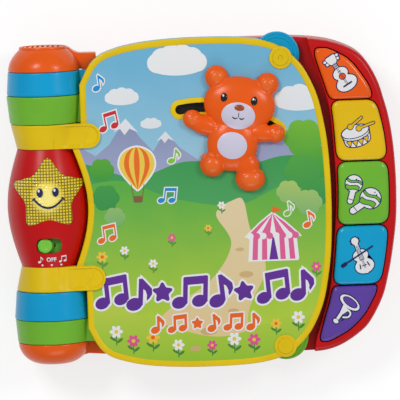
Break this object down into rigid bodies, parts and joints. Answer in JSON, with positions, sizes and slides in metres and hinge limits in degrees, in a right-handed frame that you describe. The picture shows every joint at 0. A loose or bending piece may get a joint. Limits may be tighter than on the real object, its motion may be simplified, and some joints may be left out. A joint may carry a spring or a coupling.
{
  "type": "sound book",
  "caption": "Battery-powered musical board book with a round spine, hinged cover and leaves, instrument keys, star button and rocking bear.",
  "frame": {"origin": "a point on the flat underside of the rear housing, below the middle of the cover", "axes": "+X from the spine to the keys, +Y to the top of the book, +Z out of the cover"},
  "size_m": [0.2779, 0.2367, 0.0606],
  "materials": {
    "red_plastic": "smooth semi-gloss moulding",
    "yellow_plastic": "smooth semi-gloss moulding",
    "orange_plastic": "smooth semi-gloss moulding",
    "blue_plastic": "smooth semi-gloss moulding",
    "green_plastic": "smooth semi-gloss moulding",
    "dark_green_plastic": "smooth semi-gloss moulding",
    "purple_plastic": "smooth semi-gloss moulding",
    "printed_card": "coated printed card",
    "amber_lens": "translucent amber lens",
    "dark_plastic": "fine matt moulding",
    "circuit_board": "solder mask",
    "bright_steel": "plated steel",
    "key_rubber": "silicone rubber",
    "battery_can": "plain steel can"
  },
  "bodies": {
    "housing": {"rear_housing": "red_plastic", "front_housing": "red_plastic", "barrel_front": "red_plastic", "top_spindle": "dark_plastic", "bottom_spindle": "dark_plastic", "top_end_cap": "orange_plastic", "bottom_end_cap": "orange_plastic", "speaker": "dark_plastic", "lamp_board": "circuit_board", "mode_switch": "dark_plastic", "key_membrane": "key_rubber", "key_board": "circuit_board", "main_board": "circuit_board", "last_page_print": "printed_card", "battery_1": "battery_can", "battery_2": "battery_can", "battery_contact_1": "bright_steel", "battery_contact_2": "bright_steel", "battery_door": "red_plastic", "battery_door_screw": "bright_steel", "housing_screw_1": "bright_steel", "housing_screw_2": "bright_steel", "housing_screw_3": "bright_steel", "housing_screw_4": "bright_steel"},
    "blue_leaf": {"blue_leaf_frame": "blue_plastic", "blue_leaf_front_print": "printed_card", "blue_leaf_back_print": "printed_card"},
    "green_leaf": {"green_leaf_frame": "green_plastic", "green_leaf_front_print": "printed_card", "green_leaf_back_print": "printed_card"},
    "cover": {"cover_frame": "yellow_plastic", "cover_print_sky": "printed_card", "cover_print_mountains": "printed_card", "cover_print_meadow": "printed_card", "cover_print_lawn": "printed_card", "cover_print_path": "printed_card", "cover_back_print": "printed_card"},
    "bear": {"bear": "orange_plastic", "bear_retainer": "dark_plastic"},
    "star_button": {"star_button": "amber_lens"},
    "mode_knob": {"mode_knob": "green_plastic"},
    "key_guitar": {"key_guitar": "orange_plastic"},
    "key_drum": {"key_drum": "yellow_plastic"},
    "key_maracas": {"key_maracas": "green_plastic"},
    "key_violin": {"key_violin": "blue_plastic"},
    "key_trumpet": {"key_trumpet": "purple_plastic"}
  },
  "joints": [
    {"name": "blue_leaf_turn", "type": "hinge", "parent": "housing", "child": "blue_leaf", "pos_m": [-0.1091, 0, 0.03], "axis": [0, -1, 0], "range_deg": [0, 180]},
    {"name": "green_leaf_turn", "type": "hinge", "parent": "blue_leaf", "child": "green_leaf", "pos_m": [-0.1091, 0, 0.03], "axis": [0, -1, 0], "range_deg": [0, 180]},
    {"name": "cover_turn", "type": "hinge", "parent": "green_leaf", "child": "cover", "pos_m": [-0.1091, 0, 0.03], "axis": [0, -1, 0], "range_deg": [0, 180]},
    {"name": "bear_rock", "type": "hinge", "parent": "cover", "child": "bear", "pos_m": [0.002, -0.0177, 0.046], "axis": [0, 0, 1], "range_deg": [-12, 12]},
    {"name": "star_press", "type": "slide", "parent": "housing", "child": "star_button", "axis": [0, 0, -1], "range_m": [0, 0.0015], "stiffness_N_per_m": 400, "springref_m": -0.002},
    {"name": "mode_slide", "type": "slide", "parent": "housing", "child": "mode_knob", "axis": [1, 0, 0], "range_m": [0, 0.0058]},
    {"name": "key_guitar_press", "type": "slide", "parent": "housing", "child": "key_guitar", "axis": [0, 0, -1], "range_m": [0, 0.002], "stiffness_N_per_m": 500, "springref_m": -0.001},
    {"name": "key_drum_press", "type": "slide", "parent": "housing", "child": "key_drum", "axis": [0, 0, -1], "range_m": [0, 0.002], "stiffness_N_per_m": 500, "springref_m": -0.001},
    {"name": "key_maracas_press", "type": "slide", "parent": "housing", "child": "key_maracas", "axis": [0, 0, -1], "range_m": [0, 0.002], "stiffness_N_per_m": 500, "springref_m": -0.001},
    {"name": "key_violin_press", "type": "slide", "parent": "housing", "child": "key_violin", "axis": [0, 0, -1], "range_m": [0, 0.002], "stiffness_N_per_m": 500, "springref_m": -0.001},
    {"name": "key_trumpet_press", "type": "slide", "parent": "housing", "child": "key_trumpet", "axis": [0, 0, -1], "range_m": [0, 0.002], "stiffness_N_per_m": 500, "springref_m": -0.001}
  ]
}
